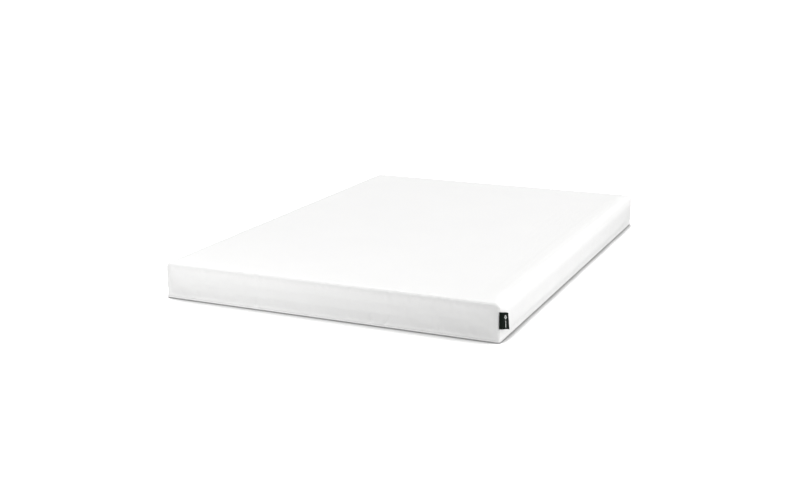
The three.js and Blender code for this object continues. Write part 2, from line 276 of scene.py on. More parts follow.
def spaced(path, normals, pitch, closed=False):
    """Places at even steps along a path: points, and the directions along, across and out."""
    if closed:
        path = np.concatenate([path, path[:1]])
        normals = np.concatenate([normals, normals[:1]])
    far = np.concatenate([[0], np.cumsum(np.linalg.norm(np.diff(path, axis=0), axis=1))])
    count = int(far[-1] / pitch)
    at = (np.arange(count) + 0.5) * far[-1] / count

    def look_up(values, where):
        return np.stack([np.interp(where, far, values[:, k]) for k in range(3)], -1)

    points = look_up(path, at)
    step = 0.25 * pitch
    after = look_up(path, np.minimum(at + step, far[-1]))
    along = unit(after - look_up(path, np.maximum(at - step, 0)))
    out = look_up(normals, at)
    out = unit(out - along * (out * along).sum(1)[:, None])
    return points, along, np.cross(out, along), out


def stitches(name, path, normals, pitch, shape, radius, closed=False, seed=0):
    """One stitch, drawn by its points along, across and out of the cloth, at every step."""
    points, along, across, out = spaced(path, normals, pitch, closed)
    stitch, faces = tube(np.array(shape) * MM, radius)
    draw = np.random.default_rng(seed)
    size = 1 + draw.uniform(-0.07, 0.07, (len(points), 1, 1))
    turn = draw.uniform(-0.09, 0.09, (len(points), 1, 1))
    a, b, c = (stitch[None, :, k : k + 1] for k in range(3))
    every = (
        points[:, None]
        + along[:, None] * (a * size + b * turn)
        + across[:, None] * (b * size - a * turn)
        + out[:, None] * c
    )
    starts = np.arange(len(points)) * len(stitch)
    numbers = [[k + int(start) for k in face] for start in starts for face in faces]
    return new_object(name, every.reshape(-1, 3), numbers)


def place(piece, material, nodes=(), body="mattress"):
    """Gives a piece its material and its body, and hides the CAD nodes that it stands for."""
    piece.data.materials.clear()
    piece.data.materials.append(material)
    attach(piece, body)
    if nodes:
        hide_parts(*nodes)
    return piece


# ---- materials

class Nodes:
    """A short way to write the nodes of a material or a world."""

    def __init__(self, owner):
        self.owner = owner
        owner.use_nodes = True
        self.tree = owner.node_tree
        self.tree.nodes.clear()

    def make(self, kind, inputs=(), **settings):
        """A node with its settings, and its inputs either linked or set to plain values."""
        node = self.tree.nodes.new("ShaderNode" + kind)
        for name, value in settings.items():
            setattr(node, name, value)
        for name, value in dict(inputs).items():
            if isinstance(value, bpy.types.NodeSocket):
                self.tree.links.new(value, node.inputs[name])
            else:
                node.inputs[name].default_value = value
        return node

    def coordinates(self, attribute=None):
        if attribute:
            return self.make("Attribute", attribute_name=attribute).outputs["Vector"]
        return self.make("TexCoord").outputs["Object"]

    def scaled(self, vector, scale, rotation=(0, 0, 0)):
        return self.make("Mapping", {"Vector": vector, "Scale": scale, "Rotation": rotation}).outputs[0]

    def split(self, vector):
        return self.make("SeparateXYZ", {0: vector}).outputs

    def math(self, operation, *values):
        return self.make("Math", enumerate(values), operation=operation).outputs[0]

    def times(self, first, second):
        return self.math("MULTIPLY", first, second)

    def noise(self, vector, scale, detail=2.0, roughness=0.5):
        inputs = {"Vector": vector, "Scale": scale, "Detail": detail, "Roughness": roughness}
        return self.make("TexNoise", inputs).outputs[0]

    def cells(self, vector, scale):
        return self.make("TexVoronoi", {"Vector": vector, "Scale": scale}).outputs["Distance"]

    def ranged(self, **inputs):
        """A Map Range node, its inputs written with underscores for spaces."""
        inputs = {name.replace("_", " "): value for name, value in inputs.items()}
        return self.make("MapRange", inputs).outputs[0]

    def between(self, factor, low, high):
        """A value from low to high as the factor goes from 0 to 1."""
        return self.ranged(Value=factor, To_Min=low, To_Max=high)

    def mix(self, factor, first, second, kind="RGBA"):
        inputs = {"Factor": factor, "A": first, "B": second}
        return self.make("Mix", inputs, data_type=kind).outputs["Result"]

    def tinted(self, color, *tones):
        """The colour times every tone, each one given as its factor, its low and its high."""
        tone = self.between(*tones[0])
        for more in tones[1:]:
            tone = self.times(tone, self.between(*more))
        return self.mix(tone, (0, 0, 0, 1), (*color, 1))

    def bump(self, height, distance, under=None):
        inputs = {"Height": height, "Distance": distance}
        if under is not None:
            inputs["Normal"] = under
        return self.make("Bump", inputs).outputs[0]

    def shown(self, kind, inputs, output="OutputMaterial"):
        """Ends the nodes in a shader, and gives back the material or world."""
        self.make(output, {"Surface": self.make(kind, inputs).outputs[0]})
        return self.owner

    def finish(self, **inputs):
        inputs = {name.replace("_", " "): value for name, value in inputs.items()}
        return self.shown("BsdfPrincipled", inputs)


def new_nodes(name):
    """The nodes of a new material, and the coordinates of the object that wears it."""
    nodes = Nodes(bpy.data.materials.new(name))
    return nodes, nodes.coordinates()


def shade(color, share):
    """The colour, darker or lighter by a share."""
    return (*[min(1.0, c * share) for c in color], 1.0)


def wave(nodes, value, period):
    """A sine of unit height along a value in metres."""
    return nodes.math("SINE", nodes.times(value, 2 * math.pi / period))


def knit(name, color, wale=1.5 * MM, course=1.1 * MM, depth=0.16 * MM, sheen=0.2):
    """Plain weft knit: columns of V-shaped loops, with slight unevenness in tone and height, and painted
    shade in the grooves between the columns.
    """
    nodes, where = new_nodes(name)
    cloth = nodes.coordinates("cloth")
    u, v, edge = nodes.split(cloth)
    column = nodes.math("ABSOLUTE", wave(nodes, u, 2 * wale))
    slant = nodes.times(column, 0.45 * course)
    loops = wave(nodes, nodes.math("ADD", v, slant), course)
    ridge = nodes.times(column, nodes.math("MULTIPLY_ADD", loops, 0.35, 0.65))
    broad = nodes.noise(where, 5.0, 3.0)
    fine = nodes.noise(where, 900.0, 2.0, 0.6)
    # The ridge tone darkens the colour in the grooves between the loop columns: painted shade
    paint = nodes.tinted(color, (broad, 0.985, 1.012), (ridge, 0.965, 1.0), (fine, 0.985, 1.015))
    pucker = nodes.noise(nodes.scaled(cloth, (90.0, 90.0, 0.0)), 1.0, 3.0)
    near = nodes.math("EXPONENT", nodes.times(edge, -1 / (9 * MM)))
    puckers = nodes.bump(nodes.times(pucker, near), 2.2 * MM)
    fuzz = nodes.bump(fine, 0.06 * MM, under=puckers)
    normal = nodes.bump(ridge, depth, under=fuzz)
    return nodes.finish(
        Base_Color=paint,
        Roughness=nodes.between(fine, 0.84, 0.95),
        Sheen_Weight=sheen,
        Sheen_Roughness=0.5,
        Specular_IOR_Level=0.25,
        Normal=normal,
    )


def twill(name, color, pitch=0.9 * MM, depth=0.12 * MM, gloss=0.8, sheen=0.1, specular=0.3):
    """A close woven cloth with fine slanting ribs, its colour darker in their troughs as painted shade.
    """
    nodes, where = new_nodes(name)
    u, v, _ = nodes.split(nodes.scaled(nodes.coordinates("cloth"), (1, 1, 1), (0, 0, math.pi / 4)))
    ribs = wave(nodes, u, pitch)
    yarns = nodes.times(wave(nodes, v, pitch * 0.7), 0.4)
    height = nodes.math("ADD", ribs, yarns)
    fine = nodes.noise(where, 1400.0, 2.0, 0.6)
    return nodes.finish(
        # The ribs tone darkens the colour in the troughs of the ribs: painted shade
        Base_Color=nodes.tinted(color, (ribs, 0.94, 1.0), (fine, 0.96, 1.03)),
        Roughness=nodes.between(fine, gloss - 0.06, gloss + 0.06),
        Sheen_Weight=sheen,
        Specular_IOR_Level=specular,
        Normal=nodes.bump(height, depth),
    )


def grip_cloth(name, color):
    """The base cloth: a tight warp knit with small soft grip dots on the underside only."""
    nodes, where = new_nodes(name)
    x, y, z = nodes.split(where)
    u, v, _ = nodes.split(nodes.coordinates("cloth"))
    rib = nodes.times(wave(nodes, u, 1.3 * MM), wave(nodes, v, 1.6 * MM))
    spots = nodes.times(wave(nodes, x, 24 * MM), wave(nodes, y, 24 * MM))
    dots = nodes.math("GREATER_THAN", nodes.math("ABSOLUTE", spots), 0.8)
    dots = nodes.times(dots, nodes.math("LESS_THAN", z, 0.8 * MM))
    fine = nodes.noise(where, 1200.0, 2.0, 0.6)
    # The rib tone darkens the colour in the troughs of the warp knit: painted shade
    paint = nodes.tinted(color, (rib, 0.97, 1.0), (fine, 0.97, 1.02))
    paint = nodes.mix(dots, paint, shade(color, 0.82))
    weave = nodes.bump(rib, 0.1 * MM)
    rough = nodes.math("SUBTRACT", nodes.between(fine, 0.86, 0.95), nodes.times(dots, 0.35))
    return nodes.finish(
        Base_Color=paint,
        Roughness=rough,
        Specular_IOR_Level=0.25,
        Normal=nodes.bump(dots, 0.4 * MM, under=weave),
    )


def thread(name, color):
    """Spun sewing thread, with its fine twist."""
    nodes, where = new_nodes(name)
    twist = nodes.noise(nodes.scaled(where, (1, 1, 1), (0.6, 0.5, 0.7)), 2600.0, 2.0, 0.7)
    return nodes.finish(
        Base_Color=nodes.tinted(color, (twist, 0.86, 1.04)),
        Roughness=nodes.between(twist, 0.55, 0.75),
        Sheen_Weight=0.15,
        Normal=nodes.bump(twist, 0.08 * MM),
    )


def nylon(name, color):
    """The zip's coil wire: smooth, faintly milky plastic."""
    nodes, where = new_nodes(name)
    drift = nodes.noise(where, 60.0, 2.0)
    return nodes.finish(
        Base_Color=nodes.tinted(color, (drift, 0.96, 1.02)),
        Roughness=nodes.between(drift, 0.3, 0.42),
        Subsurface_Weight=0.05,
        Subsurface_Radius=(0.001, 0.001, 0.001),
        Normal=nodes.bump(nodes.noise(where, 1500.0), 0.02 * MM),
    )


def nickel(name, color):
    """Nickel plate over a die casting, with fine scratches and a little dulling."""
    nodes, where = new_nodes(name)
    scratches = nodes.noise(nodes.scaled(where, (0.12, 1, 1), (0, 0, 0.15)), 5200.0, 2.0, 0.6)
    dull = nodes.noise(where, 420.0, 3.0)
    return nodes.finish(
        Base_Color=nodes.tinted(color, (dull, 0.9, 1.04)),
        Metallic=1.0,
        Roughness=nodes.math("ADD", nodes.between(dull, 0.14, 0.3), nodes.between(scratches, 0.0, 0.06)),
        Normal=nodes.bump(scratches, 0.012 * MM),
    )


def foam(name, color, cell=1100.0):
    """Open-cell foam: fine pores of uneven size, with a soft mottle, and painted shade darkening the
    inside of each pore.
    """
    nodes, where = new_nodes(name)
    pores = nodes.cells(where, cell)
    large = nodes.cells(where, cell * 0.35)
    mottle = nodes.noise(where, 14.0, 3.0)
    return nodes.finish(
        # The pores tone darkens the colour inside each pore: painted shade
        Base_Color=nodes.tinted(color, (pores, 0.82, 1.05), (mottle, 0.97, 1.02)),
        Roughness=0.95,
        Specular_IOR_Level=0.2,
        Normal=nodes.bump(pores, 0.35 * MM, under=nodes.bump(large, 0.25 * MM)),
    )


WHITE = (0.9, 0.9, 0.895)
knit_white = knit("white_knit", WHITE)
# The ends' knit is darker than the top's: partly a greyer knit, partly painted shade for the end faces,
# which the key light leaves in shade
knit_end_grey_and_shaded = knit("end_knit_with_painted_shade", (0.82, 0.82, 0.815))
base_cloth = grip_cloth("base_cloth", (0.82, 0.82, 0.815))
white_thread = thread("white_thread", (0.88, 0.88, 0.87))
tape_weave = twill("zip_tape_weave", (0.84, 0.84, 0.835), pitch=1.1 * MM)
coil_nylon = nylon("coil_nylon", (0.88, 0.88, 0.87))
zip_nickel = nickel("zip_nickel", (0.6, 0.61, 0.62))
label_weave = twill("label_weave", (0.006, 0.01, 0.0075), 0.42 * MM, 0.06 * MM, 0.8, 0.0, 0.08)
mark_thread = thread("mark_thread", (0.72, 0.74, 0.72))
care_satin = twill("care_satin", (0.9, 0.9, 0.89), 0.35 * MM, 0.03 * MM, 0.5)
sock_knit = knit("sock_knit", (0.86, 0.84, 0.79), wale=2.2 * MM, course=1.6 * MM, depth=0.3 * MM)
memory_foam = foam("memory_foam", (0.9, 0.87, 0.78))
support_foam = foam("support_foam", (0.84, 0.87, 0.89), 700.0)


# ---- the cloth simulation

SIM_STEP = 17 * MM
SIM_FRAMES = 14
SIM_CAP = 6 * MM
CLOTH_SETTINGS = dict(
    quality=5, mass=0.25, air_damping=4,
    tension_stiffness=12, compression_stiffness=12, shear_stiffness=4, bending_stiffness=0.08,
    tension_damping=12, compression_damping=12, shear_damping=8, bending_damping=1,
    vertex_group_mass="pin", pin_stiffness=1.0,
    vertex_group_shrink="fullness", shrink_min=0.0, shrink_max=-0.035,
    use_pressure=True, uniform_pressure_force=1.2,
)
# The share of each point's place that is held: at the seams, just off them, and far from them
HELD_AT_SEAM, HELD_BESIDE, HELD_FAR_MORE = 0.75, 0.1, 0.12


def lattice(low, high, fine, coarse):
    """Points and quads of an evenly divided box, the points on its plain surface."""
    axes = [a + graded(b - a, fine, min(coarse, (b - a) / 5)) for a, b in zip(low, high)]
    index, points, quads = {}, [], []

    def number(key):
        if key not in index:
            index[key] = len(points)
            points.append([axes[a][key[a]] for a in range(3)])
        return index[key]

    for axis, (one, two) in enumerate([(1, 2), (2, 0), (0, 1)]):
        for end in (0, len(axes[axis]) - 1):
            for i in range(len(axes[one]) - 1):
                for j in range(len(axes[two]) - 1):
                    ring = []
                    for di, dj in ((0, 0), (1, 0), (1, 1), (0, 1)):
                        key = [0, 0, 0]
                        key[axis], key[one], key[two] = end, i + di, j + dj
                        ring.append(number(tuple(key)))
                    quads.append(ring if end else ring[::-1])
    return np.array(points), np.array(quads)


def rounded(points, low, high, low_radii, high_radii):
    """Points on a plain box's surface, moved onto the box with rounded edges, and normals."""
    core = np.clip(points, low + low_radii, high - high_radii)
    radii = np.where(points > core, high_radii, low_radii)
    way = unit((points - core) / radii)
    return core + way * radii, unit(way / radii)


def seam_distance(points):
    """How far points on the cover are from the nearest end seam or base seam."""
    x, y, z = np.abs(points[:, 0]), np.abs(points[:, 1]), points[:, 2]
    inset = np.minimum(HALF_W - x, HEIGHT - z)
    to_end = np.hypot(inset - SEAM_INSET, np.maximum(HALF_L - y, 0))
    to_base = np.abs(z - SEAM_Z) + np.minimum(HALF_W - x, HALF_L - y).clip(0)
    return np.minimum(to_end, to_base)


def simulate_cover():
    """Cloth over the foam: the panels are cut a little full, the seams hold them in, and the
    foam, as soft springs, pushes them out. Returns the rest points and how far each one moves."""
    low = np.array([-HALF_W, -HALF_L, 0])
    high = np.array([HALF_W, HALF_L, HEIGHT])
    plain, quads = lattice(low, high, 6 * MM, SIM_STEP)
    side = TOP_R * 0.8
    rest, _ = rounded(plain, low, high, np.array([side, END_R, BASE_R]), np.array([side, END_R, side]))
    cloth = new_object("cover_simulation", rest, quads)
    distance = seam_distance(rest)
    head_zip = (rest[:, 1] > HALF_L - 30 * MM) & (rest[:, 2] < 45 * MM)
    fixed = (rest[:, 2] < 4 * MM) | head_zip

    pin = cloth.vertex_groups.new(name="pin")
    fullness = cloth.vertex_groups.new(name="fullness")
    loose = HELD_BESIDE + HELD_FAR_MORE * ramp(distance, 60 * MM, 220 * MM)
    hold = np.where(distance < 7 * MM, HELD_AT_SEAM, loose)
    hold[fixed] = 1.0
    ease = 0.35 + 0.65 * fade(distance, 45 * MM)
    for i in range(len(rest)):
        pin.add([i], float(hold[i]), "REPLACE")
        fullness.add([i], float(ease[i]), "REPLACE")

    modifier = cloth.modifiers.new("Cloth", "CLOTH")
    for setting, value in CLOTH_SETTINGS.items():
        setattr(modifier.settings, setting, value)
    modifier.settings.effector_weights.gravity = 0
    modifier.collision_settings.use_collision = False
    modifier.collision_settings.use_self_collision = False
    modifier.point_cache.frame_start = 1
    modifier.point_cache.frame_end = SIM_FRAMES
    for number in range(1, SIM_FRAMES + 1):
        scene.frame_set(number)
    ready = cloth.evaluated_get(bpy.context.evaluated_depsgraph_get())
    moved = np.empty(len(rest) * 3)
    ready.data.vertices.foreach_get("co", moved)
    moved = moved.reshape(-1, 3) - rest
    scene.frame_set(1)
    bpy.data.objects.remove(cloth)
    size = np.linalg.norm(moved, axis=1)[:, None]
    moved *= np.minimum(1, SIM_CAP / np.maximum(size, 1e-9))
    moved[fixed] = 0
    return rest, moved


class Settled:
    """Moves points of the cover as the simulated cloth around them moved."""

    REACH = 12 * MM
    NEIGHBOURS = 9

    def __init__(self):
        self.tree = None
        rest, self.moved = simulate_cover()
        self.tree = kdtree.KDTree(len(rest))
        for i, point in enumerate(rest):
            self.tree.insert(Vector(point), i)
        self.tree.balance()

    def __call__(self, points):
        if self.tree is None:
            return points
        shape = points.shape
        flat = points.reshape(-1, 3)
        out = np.empty_like(flat)
        for k, point in enumerate(flat):
            found = self.tree.find_n(Vector(point), self.NEIGHBOURS)
            weights = np.array([math.exp(-((f[2] / self.REACH) ** 2)) + 1e-6 for f in found])
            shift = self.moved[[f[1] for f in found]]
            out[k] = point + weights @ shift / weights.sum()
        return out.reshape(shape)


settled = Settled()
FOAM_GIVE = 0.5 * MM
TOP_CALM = 0.7
TOP_CALM_FROM, TOP_CALM_TO = 30 * MM, 120 * MM


def pushed(points, normals):
    """Points of the cover as the simulation left them. The foam lets the cloth out, and hardly
    in. The cloth is calmer on the wide flat top, and still beside the zip."""
    shift = settled(points) - points
    from_side = HALF_W - np.abs(points[..., :1])
    on_top = np.abs(normals[..., 2:])
    shift *= 1 - TOP_CALM * on_top * ramp(from_side, TOP_CALM_FROM, TOP_CALM_TO)
    by_zip = ramp(points[..., 1:2], HALF_L - 90 * MM, HALF_L - 20 * MM)
    shift *= 1 - by_zip * (1 - ramp(points[..., 2:], 34 * MM, 90 * MM))
    out = (shift * normals).sum(-1, keepdims=True)
    kept = (out + np.sqrt(out ** 2 + FOAM_GIVE ** 2)) / 2 - FOAM_GIVE / 2
    return points + shift + normals * (kept - out)


# ---- the cover

FINE_WAVES = [v * MM for v in (14, 17, 22)]
WAVES = [v * MM for v in (27, 34, 45, 61, 83)]
LONG_WAVES = [v * MM for v in (170, 260, 390, 610)]
# How far the cloth turns in at a seam, and over what distance, and the same at the base
TURN_IN, TURN_REACH = 1.5 * MM, 2.6 * MM
BASE_TURN_IN, BASE_TURN_REACH = 0.9 * MM, 1.7 * MM
# The heights of the puckers, where each kind starts and how far it reaches, and their limits
PUCKER, PUCKER_START, PUCKER_REACH = 4.4 * MM, 5 * MM, 19 * MM
FINE_PUCKER, FINE_START, FINE_REACH = 1.1 * MM, 2 * MM, 7 * MM
PUCKER_OUT, PUCKER_IN = 0.9 * MM, 2.2 * MM
PUCKER_LEVEL = 0.3
LEAST_T = 0.9 * MM
# How far the panels swell between their seams
SIDE_SWELL, TOP_CROWN, END_SWELL, END_BULGE = 1.1 * MM, 0.9 * MM, 0.9 * MM, 1.1 * MM


def sewn(points, normals, edge, along, seed, at_base):
    """The cloth near its seams: it turns in at the very edge, less at the base, and is drawn up
    in small puckers beside it."""
    at_seam = TURN_IN * fade(edge, TURN_REACH)
    turn_in = np.where(at_base, BASE_TURN_IN * fade(edge, BASE_TURN_REACH), at_seam)
    lean = along + 0.35 * edge * ripple(along, LONG_WAVES, seed + 2)
    gathers = 0.5 + 0.5 * ripple(lean, WAVES, seed)
    fine = 0.5 + 0.5 * ripple(lean, FINE_WAVES, seed + 3)
    patches = (0.65 + 0.45 * ripple(along, LONG_WAVES, seed + 1)).clip(0.1)
    reach = np.exp(-edge / PUCKER_REACH) - np.exp(-edge / PUCKER_START)
    drawn = PUCKER * (gathers - PUCKER_LEVEL) * patches * reach
    reach = np.exp(-edge / FINE_REACH) - np.exp(-edge / FINE_START)
    drawn += FINE_PUCKER * (fine - PUCKER_LEVEL) * reach
    drop = turn_in + drawn.clip(-PUCKER_OUT, PUCKER_IN)
    outer = points - normals * drop[..., None]
    room = (CLOTH_T - drop).clip(LEAST_T)
    return outer, outer - normals * room[..., None]


def add_wrap():
    """The top and both long sides, one piece of knit."""
    s = graded(SECTION_LENGTH - 2 * SEAM_HALF, 1.2 * MM, 5.7 * MM) + SEAM_HALF
    t = graded(WRAP_LENGTH - 2 * SEAM_HALF, 1.2 * MM, 8.1 * MM, 1.3) + SEAM_HALF
    tt, ss = grid(t, s)
    points, normals = wrap_surface(ss, tt)
    to_end = np.minimum(tt, WRAP_LENGTH - tt)
    to_base = np.minimum(ss, SECTION_LENGTH - ss)
    edge = np.minimum(to_end, to_base)
    along = np.where(to_end < to_base, ss, tt + 3.0)
    on_side = np.abs(normals[..., 0])
    swell = SIDE_SWELL * ripple(tt + 0.3 * ss, LONG_WAVES, 5) * on_side
    crown = TOP_CROWN * ramp(edge, 0.0, 0.25)
    points = pushed(points, normals) + normals * (swell + crown * (1 - on_side))[..., None]
    outer, inner = sewn(points, normals, edge, along, 11, to_base < to_end)
    wrap = shell("cover_top_wrap", outer, inner, xyz(ss, tt, edge), skip=3)
    place(wrap, knit_white, ["top_wrap_panel"])


def end_panel(name, side, low_edge, seed):
    """One end of the cover. low_edge gives the height of its low edge at each x."""
    half = HALF_W - SEAM_INSET - SEAM_HALF
    x = graded(2 * half, 0.5 * MM, 4.6 * MM, 1.25) - half
    v = graded(1.0, 0.009, 0.034)
    vv, xx = grid(v, x)
    low = low_edge(xx)
    points, normals = end_surface(xx, vv, low, side)
    top = points[-1:, :, 2]
    to_top = top - points[..., 2]
    to_low = points[..., 2] - low
    to_side = half - np.abs(xx)
    edge = np.minimum(np.minimum(to_top, to_low), to_side)
    along = np.where(to_top < to_low, xx, xx + 5.0)
    swell = END_SWELL * ripple(xx + 0.6 * points[..., 2], LONG_WAVES, seed)
    swell *= fade(to_low - 60 * MM, 50 * MM)
    bulge = END_BULGE * ramp(edge, 0.0, 45 * MM)
    points[..., 2] -= SEAM_HALF * (vv > 0.999)
    set_back = END_R * (1 - math.cos(END_ANGLE))
    points[..., 1] -= side * set_back * fade(np.minimum(to_top, to_side), TURN_REACH)
    points = pushed(points, normals) + normals * (swell + bulge)[..., None]
    outer, inner = sewn(points, normals, edge, along, seed, to_low < np.minimum(to_top, to_side))
    cloth = xyz(xx, points[..., 2], edge)
    if side > 0:
        outer, inner, cloth = outer[:, ::-1], inner[:, ::-1], cloth[:, ::-1]
    panel = shell(name, outer, inner, cloth)
    return panel


def slot_share(x):
    """How far the zip's slot is open at each x, from 1 along the zip to 0 past its ends."""
    return 1 - ramp(np.abs(x), SLOT_HALF_X - 1 * MM, SLOT_HALF_X + 5 * MM)


def add_ends():
    """The foot panel comes down to the base seam, and the head panel stops above the zip."""
    foot = end_panel("cover_foot_end", -1, lambda x: np.full_like(x, SEAM_Z + SEAM_HALF), 21)
    place(foot, knit_end_grey_and_shaded, ["foot_end_panel"])

    def over_zip(x):
        return ZIP_Z + SEAM_HALF + (SLOT_HIGH - ZIP_Z - SEAM_HALF) * slot_share(x)

    head = end_panel("cover_head_end", 1, over_zip, 31)
    place(head, knit_end_grey_and_shaded, ["head_end_panel"])


def add_base():
    """The base and its turned-up lips, with a higher lip under the zip at the head end."""
    lip = SEAM_Z - SEAM_HALF
    ring = HALF_W - END_R * (1 - math.tan(END_ANGLE))
    steps = np.array([-1, 0.2, 1.4, 2.6, 3.8, 5]) * MM + SLOT_HALF_X
    steps = np.concatenate([steps, ring + np.array([-3, -1.6, -0.8, -0.25, -0.05, 0.6, 1.4]) * MM])
    across = np.concatenate([graded(2 * HALF_W, 2 * MM, 8 * MM) - HALF_W, steps, -steps])
    across = np.unique(across.round(6)).clip(-HALF_W, HALF_W)
    down = graded(2 * HALF_L, 2 * MM, 14 * MM) - HALF_L
    up = lip * np.array([0.25, 0.45, 0.6, 0.75, 0.87, 0.95, 1.0])
    u = np.concatenate([-HALF_W - up[::-1], across, HALF_W + up])
    w = np.concatenate([-HALF_L - up[::-1], down, HALF_L + up])
    ww, uu = grid(w, u)
    over_u = (np.abs(uu) - HALF_W).clip(0)
    over_w = (np.abs(ww) - HALF_L).clip(0)
    x = uu.clip(-HALF_W, HALF_W)
    y = ww.clip(-HALF_L, HALF_L)
    head_lip = ZIP_Z - SEAM_HALF + (SLOT_LOW - ZIP_Z + SEAM_HALF) * slot_share(x)
    inside = ramp(ring - np.abs(x), 0.05 * MM, 0.25 * MM)
    rise = np.where(ww > HALF_L, 1 + (head_lip / lip - 1) * inside, 1.0)
    z = np.maximum(over_u, over_w * rise)
    radii = np.array([END_R, END_R, BASE_R])
    flat = xyz(x, y, z).reshape(-1, 3)
    low = np.array([-HALF_W, -HALF_L, 0])
    high = np.array([HALF_W, HALF_L, HEIGHT])
    outer, normals = (v.reshape(x.shape + (3,)) for v in rounded(flat, low, high, radii, radii))
    edge = np.minimum(lip - over_u, (lip - over_w) * rise)
    beside_head = np.hypot(ring - np.abs(x), (lip - z).clip(0))
    edge = np.where(ww > HALF_L, np.minimum(edge, beside_head), edge)
    lips = ramp(outer[..., 2], 2 * MM, 8 * MM)
    ease = 0.25 * MM * (1 + ripple(x + y, WAVES, 41))
    turn = lips * (BASE_TURN_IN * fade(edge, BASE_TURN_REACH) + ease)
    outer = outer - normals * turn[..., None]
    keep = ~((over_u > 0) & (over_w > 0))

    quads = grid_faces(*x.shape, flip=True)
    quads = quads[keep.reshape(-1)[quads].all(1)]
    used, again = np.unique(quads, return_inverse=True)
    key = np.round(outer.reshape(-1, 3)[used] / (0.01 * MM)).astype(int)
    _, first, same = np.unique(key, axis=0, return_index=True, return_inverse=True)
    quads = same.reshape(-1)[again.reshape(-1, 4)]
    used = used[first]
    quads = quads[[len(set(q)) == 4 for q in quads.tolist()]]
    points, ways, turned = (v.reshape(-1, v.shape[-1])[used] for v in (outer, normals, turn[..., None]))
    lengths = xyz(uu, ww, edge).reshape(-1, 3)[used]
    thick = (CLOTH_T - turned[:, 0]).clip(1 * MM)
    base = thickened("cover_base", points, quads, ways, thick, lengths)
    place(base, base_cloth, ["base_panel"])


# ---- seams

LADDER = [(-0.5, -1.7, -1.1), (-0.35, -1.1, -0.25), (0, 0, 0.0), (0.35, 1.1, -0.25), (0.5, 1.7, -1.1)]
RUNNING = [(-1.25, 0, -0.5), (-0.95, 0, 0.05), (-0.4, 0, 0.22)]
RUNNING += [(-a, b, c) for a, b, c in RUNNING[::-1]]
THREAD_R = 0.24 * MM
SEAM_PITCH = 3.4 * MM
VALLEY = 0.95 * MM


def sew(name, path, ways, nodes=(), pitch=SEAM_PITCH, shape=LADDER, radius=THREAD_R, **more):
    """A line of stitches in white thread, standing for CAD nodes."""
    line = stitches(name, path, ways, pitch, shape, radius, **more)
    place(line, white_thread, nodes)


def ring_path(side, low=None):
    """The seam round an end panel: up one side, over the top and down the other."""
    s = np.linspace(0, SECTION_LENGTH, 520)
    t = np.full_like(s, 0.0 if side < 0 else WRAP_LENGTH)
    points, normals = wrap_surface(s, t)
    if low is not None:
        above = points[:, 2] > low
        points, normals = points[above], normals[above]
    return points, normals


def sink(points, normals):
    return pushed(points, normals) - normals * VALLEY


def add_seams():
    """Thread across every seam of the cover, in the valley between the two cloths."""
    points, normals = ring_path(-1)
    x = np.linspace(points[-1, 0], points[0, 0], 300)[1:-1]
    path, ways = (np.concatenate(v) for v in zip((points, normals), straight(x, -HALF_L, SEAM_Z, -1.0)))
    sew("foot_seam", sink(path, ways), ways, ["foot_seam_thread"], closed=True, seed=1)

    points, normals = ring_path(1, SEAM_Z + 1.5 * MM)
    sew("head_seam", sink(points, normals), normals, ["head_seam_thread"], seed=2)

    t = np.linspace(0, WRAP_LENGTH, 900)
    for name, side in (("left", -1.0), ("right", 1.0)):
        path, ways = wrap_surface(np.full_like(t, 0.0 if side < 0 else SECTION_LENGTH), t)
        sew(f"base_seam_{name}", sink(path, ways), ways, [f"base_seam_thread_{name}"], seed=3)
        x = side * np.linspace(SLOT_HALF_X + 6 * MM, HALF_W - SEAM_INSET - 1 * MM, 30)
        path, ways = straight(x, HALF_L, ZIP_Z)
        sew(f"zip_end_seam_{name}", sink(path, ways), ways, seed=4)


# ---- labels

LABEL_LOW, LABEL_HIGH = corners("side_label")
LABEL_BEND = 11.4 * MM
LABEL_REACH = 36.5 * MM
LABEL_DROOP = 13 * MM
LABEL_LEAN = 2.5 * MM
LABEL_HALF_GAP = 0.5 * MM
LABEL_T = 0.38 * MM
LABEL_CURL = 1.8 * MM
LABEL_LIFT = math.radians(18)
LABEL_SPAN = LABEL_REACH + (math.pi / 2 - LABEL_LIFT) * LABEL_BEND


def label_line(u, v):
    """The side label's middle line at u along from the seam and v from 0, low, to 1, high, with
    its outward normal. It turns the corner, stands off the side and droops at its free end, and
    its low edge reaches a little further than its high one."""
    u = u * (1 + LABEL_LEAN / LABEL_SPAN * (1 - v))
    lift = LABEL_LIFT - math.radians(5) * v
    turn = math.pi / 2 - lift
    centre_x = HALF_W - SEAM_INSET
    centre_y = -HALF_L - 1.3 * MM + LABEL_BEND
    angle = np.minimum(u / LABEL_BEND, turn) - math.pi / 2
    beyond = np.maximum(u - turn * LABEL_BEND, 0)
    share = u / (LABEL_REACH + turn * LABEL_BEND)
    curl = LABEL_CURL * np.sin(2.9 * share + 1.3 * v) * share
    out_x, out_y = np.cos(angle), np.sin(angle)
    x = centre_x + LABEL_BEND * out_x + beyond * np.sin(lift) + curl * out_x
    y = centre_y + LABEL_BEND * out_y + beyond * np.cos(lift) + curl * out_y
    droop = LABEL_DROOP * (0.75 + 0.25 * v) * share ** 1.7
    z = LABEL_LOW[2] + v * (LABEL_HIGH[2] - LABEL_LOW[2]) - droop
    normals = xyz(out_x, out_y, np.zeros_like(z))
    return xyz(x, y, z), normals


